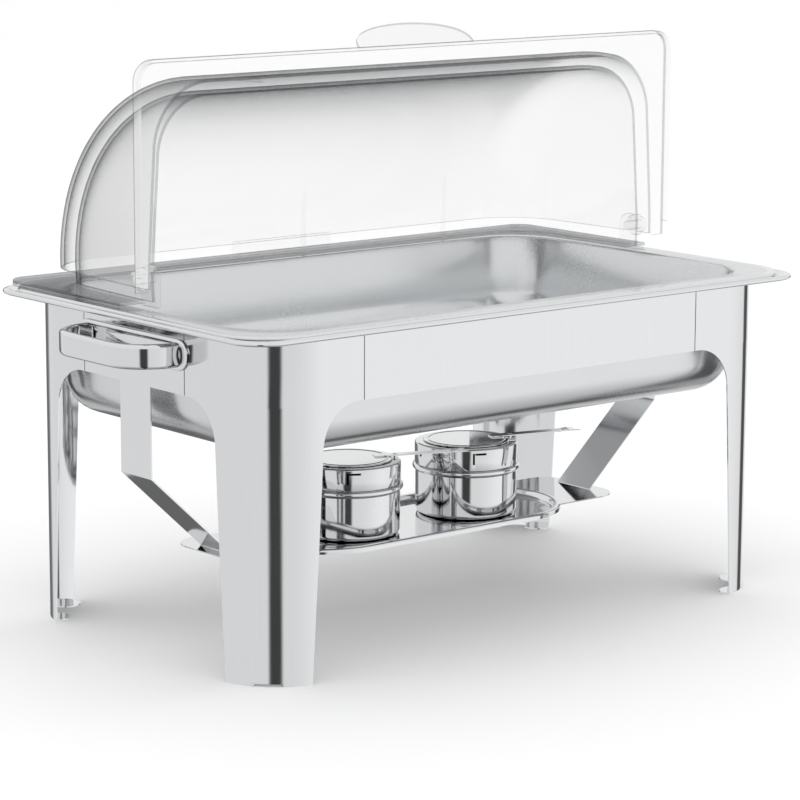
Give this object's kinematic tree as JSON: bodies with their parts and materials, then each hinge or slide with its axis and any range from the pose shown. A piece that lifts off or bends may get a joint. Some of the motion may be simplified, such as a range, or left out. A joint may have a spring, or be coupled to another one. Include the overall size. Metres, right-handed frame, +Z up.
{
  "type": "roll top chafer",
  "caption": "Buffet chafing dish: steel stand with gel burners, water pan, food pan and a clear dome whose front half rolls back.",
  "frame": {"origin": "on the floor, under the centre of the stand", "axes": "+Z up, +X to the right along the long side, +Y to the rear, where the fixed half of the dome is"},
  "size_m": [0.5866, 0.3318, 0.4478],
  "materials": {
    "brushed_steel": "satin brushed stainless steel",
    "polished_steel": "mirror polished stainless steel",
    "pan_steel": "drawn stainless steel, fine satin",
    "clear_dome": "clear polycarbonate, glossy"
  },
  "bodies": {
    "stand": {"leg_front_left": "brushed_steel", "leg_front_right": "brushed_steel", "leg_rear_left": "brushed_steel", "leg_rear_right": "brushed_steel", "apron_front": "brushed_steel", "apron_rear": "brushed_steel", "apron_left": "brushed_steel", "apron_right": "brushed_steel", "tray_bracket_left": "brushed_steel", "tray_bracket_right": "brushed_steel", "fuel_tray": "polished_steel", "handle_plate_left": "polished_steel", "handle_plate_right": "polished_steel", "handle_grip_left": "polished_steel", "handle_grip_right": "polished_steel", "handle_clip_front_left": "polished_steel", "handle_clip_front_right": "polished_steel", "handle_clip_rear_left": "polished_steel", "handle_clip_rear_right": "polished_steel"},
    "water_bath": {"water_pan": "pan_steel", "pan_stud_front_left": "polished_steel", "pan_stud_front_right": "polished_steel", "pan_stud_rear_left": "polished_steel", "pan_stud_rear_right": "polished_steel"},
    "food_pan": {"food_pan": "pan_steel"},
    "dome": {"dome_base": "clear_dome", "pivot_pin_left": "clear_dome", "pivot_pin_right": "clear_dome"},
    "cover": {"roll_cover": "clear_dome"},
    "burner_left": {"fuel_cup_left": "polished_steel"},
    "collar_left": {"burner_collar_left": "polished_steel", "damper_rivet_left": "polished_steel"},
    "damper_left": {"damper_left": "polished_steel"},
    "burner_right": {"fuel_cup_right": "polished_steel"},
    "collar_right": {"burner_collar_right": "polished_steel", "damper_rivet_right": "polished_steel"},
    "damper_right": {"damper_right": "polished_steel"}
  },
  "joints": [
    {"name": "water_pan_lift", "type": "slide", "parent": "stand", "child": "water_bath", "axis": [0, 0, 1], "range_m": [0, 0.12]},
    {"name": "food_pan_lift", "type": "slide", "parent": "water_bath", "child": "food_pan", "axis": [0, 0, 1], "range_m": [0, 0.09]},
    {"name": "dome_lift", "type": "slide", "parent": "food_pan", "child": "dome", "axis": [0, 0, 1], "range_m": [0, 0.08]},
    {"name": "roll_top", "type": "hinge", "parent": "dome", "child": "cover", "pos_m": [0, 0, 0.2745], "axis": [1, 0, 0], "range_deg": [0, 90]},
    {"name": "burner_left_lift", "type": "slide", "parent": "stand", "child": "burner_left", "axis": [0, 0, 1], "range_m": [0, 0.012]},
    {"name": "collar_left_lift", "type": "slide", "parent": "burner_left", "child": "collar_left", "axis": [0, 0, 1], "range_m": [0, 0.016]},
    {"name": "damper_left_swing", "type": "hinge", "parent": "collar_left", "child": "damper_left", "pos_m": [-0.02203, -0.0168, 0.118], "axis": [0, 0, -1], "range_deg": [0, 80]},
    {"name": "burner_right_lift", "type": "slide", "parent": "stand", "child": "burner_right", "axis": [0, 0, 1], "range_m": [0, 0.012]},
    {"name": "collar_right_lift", "type": "slide", "parent": "burner_right", "child": "collar_right", "axis": [0, 0, 1], "range_m": [0, 0.016]},
    {"name": "damper_right_swing", "type": "hinge", "parent": "collar_right", "child": "damper_right", "pos_m": [0.09877, -0.01265, 0.118], "axis": [0, 0, -1], "range_deg": [0, 80]}
  ]
}
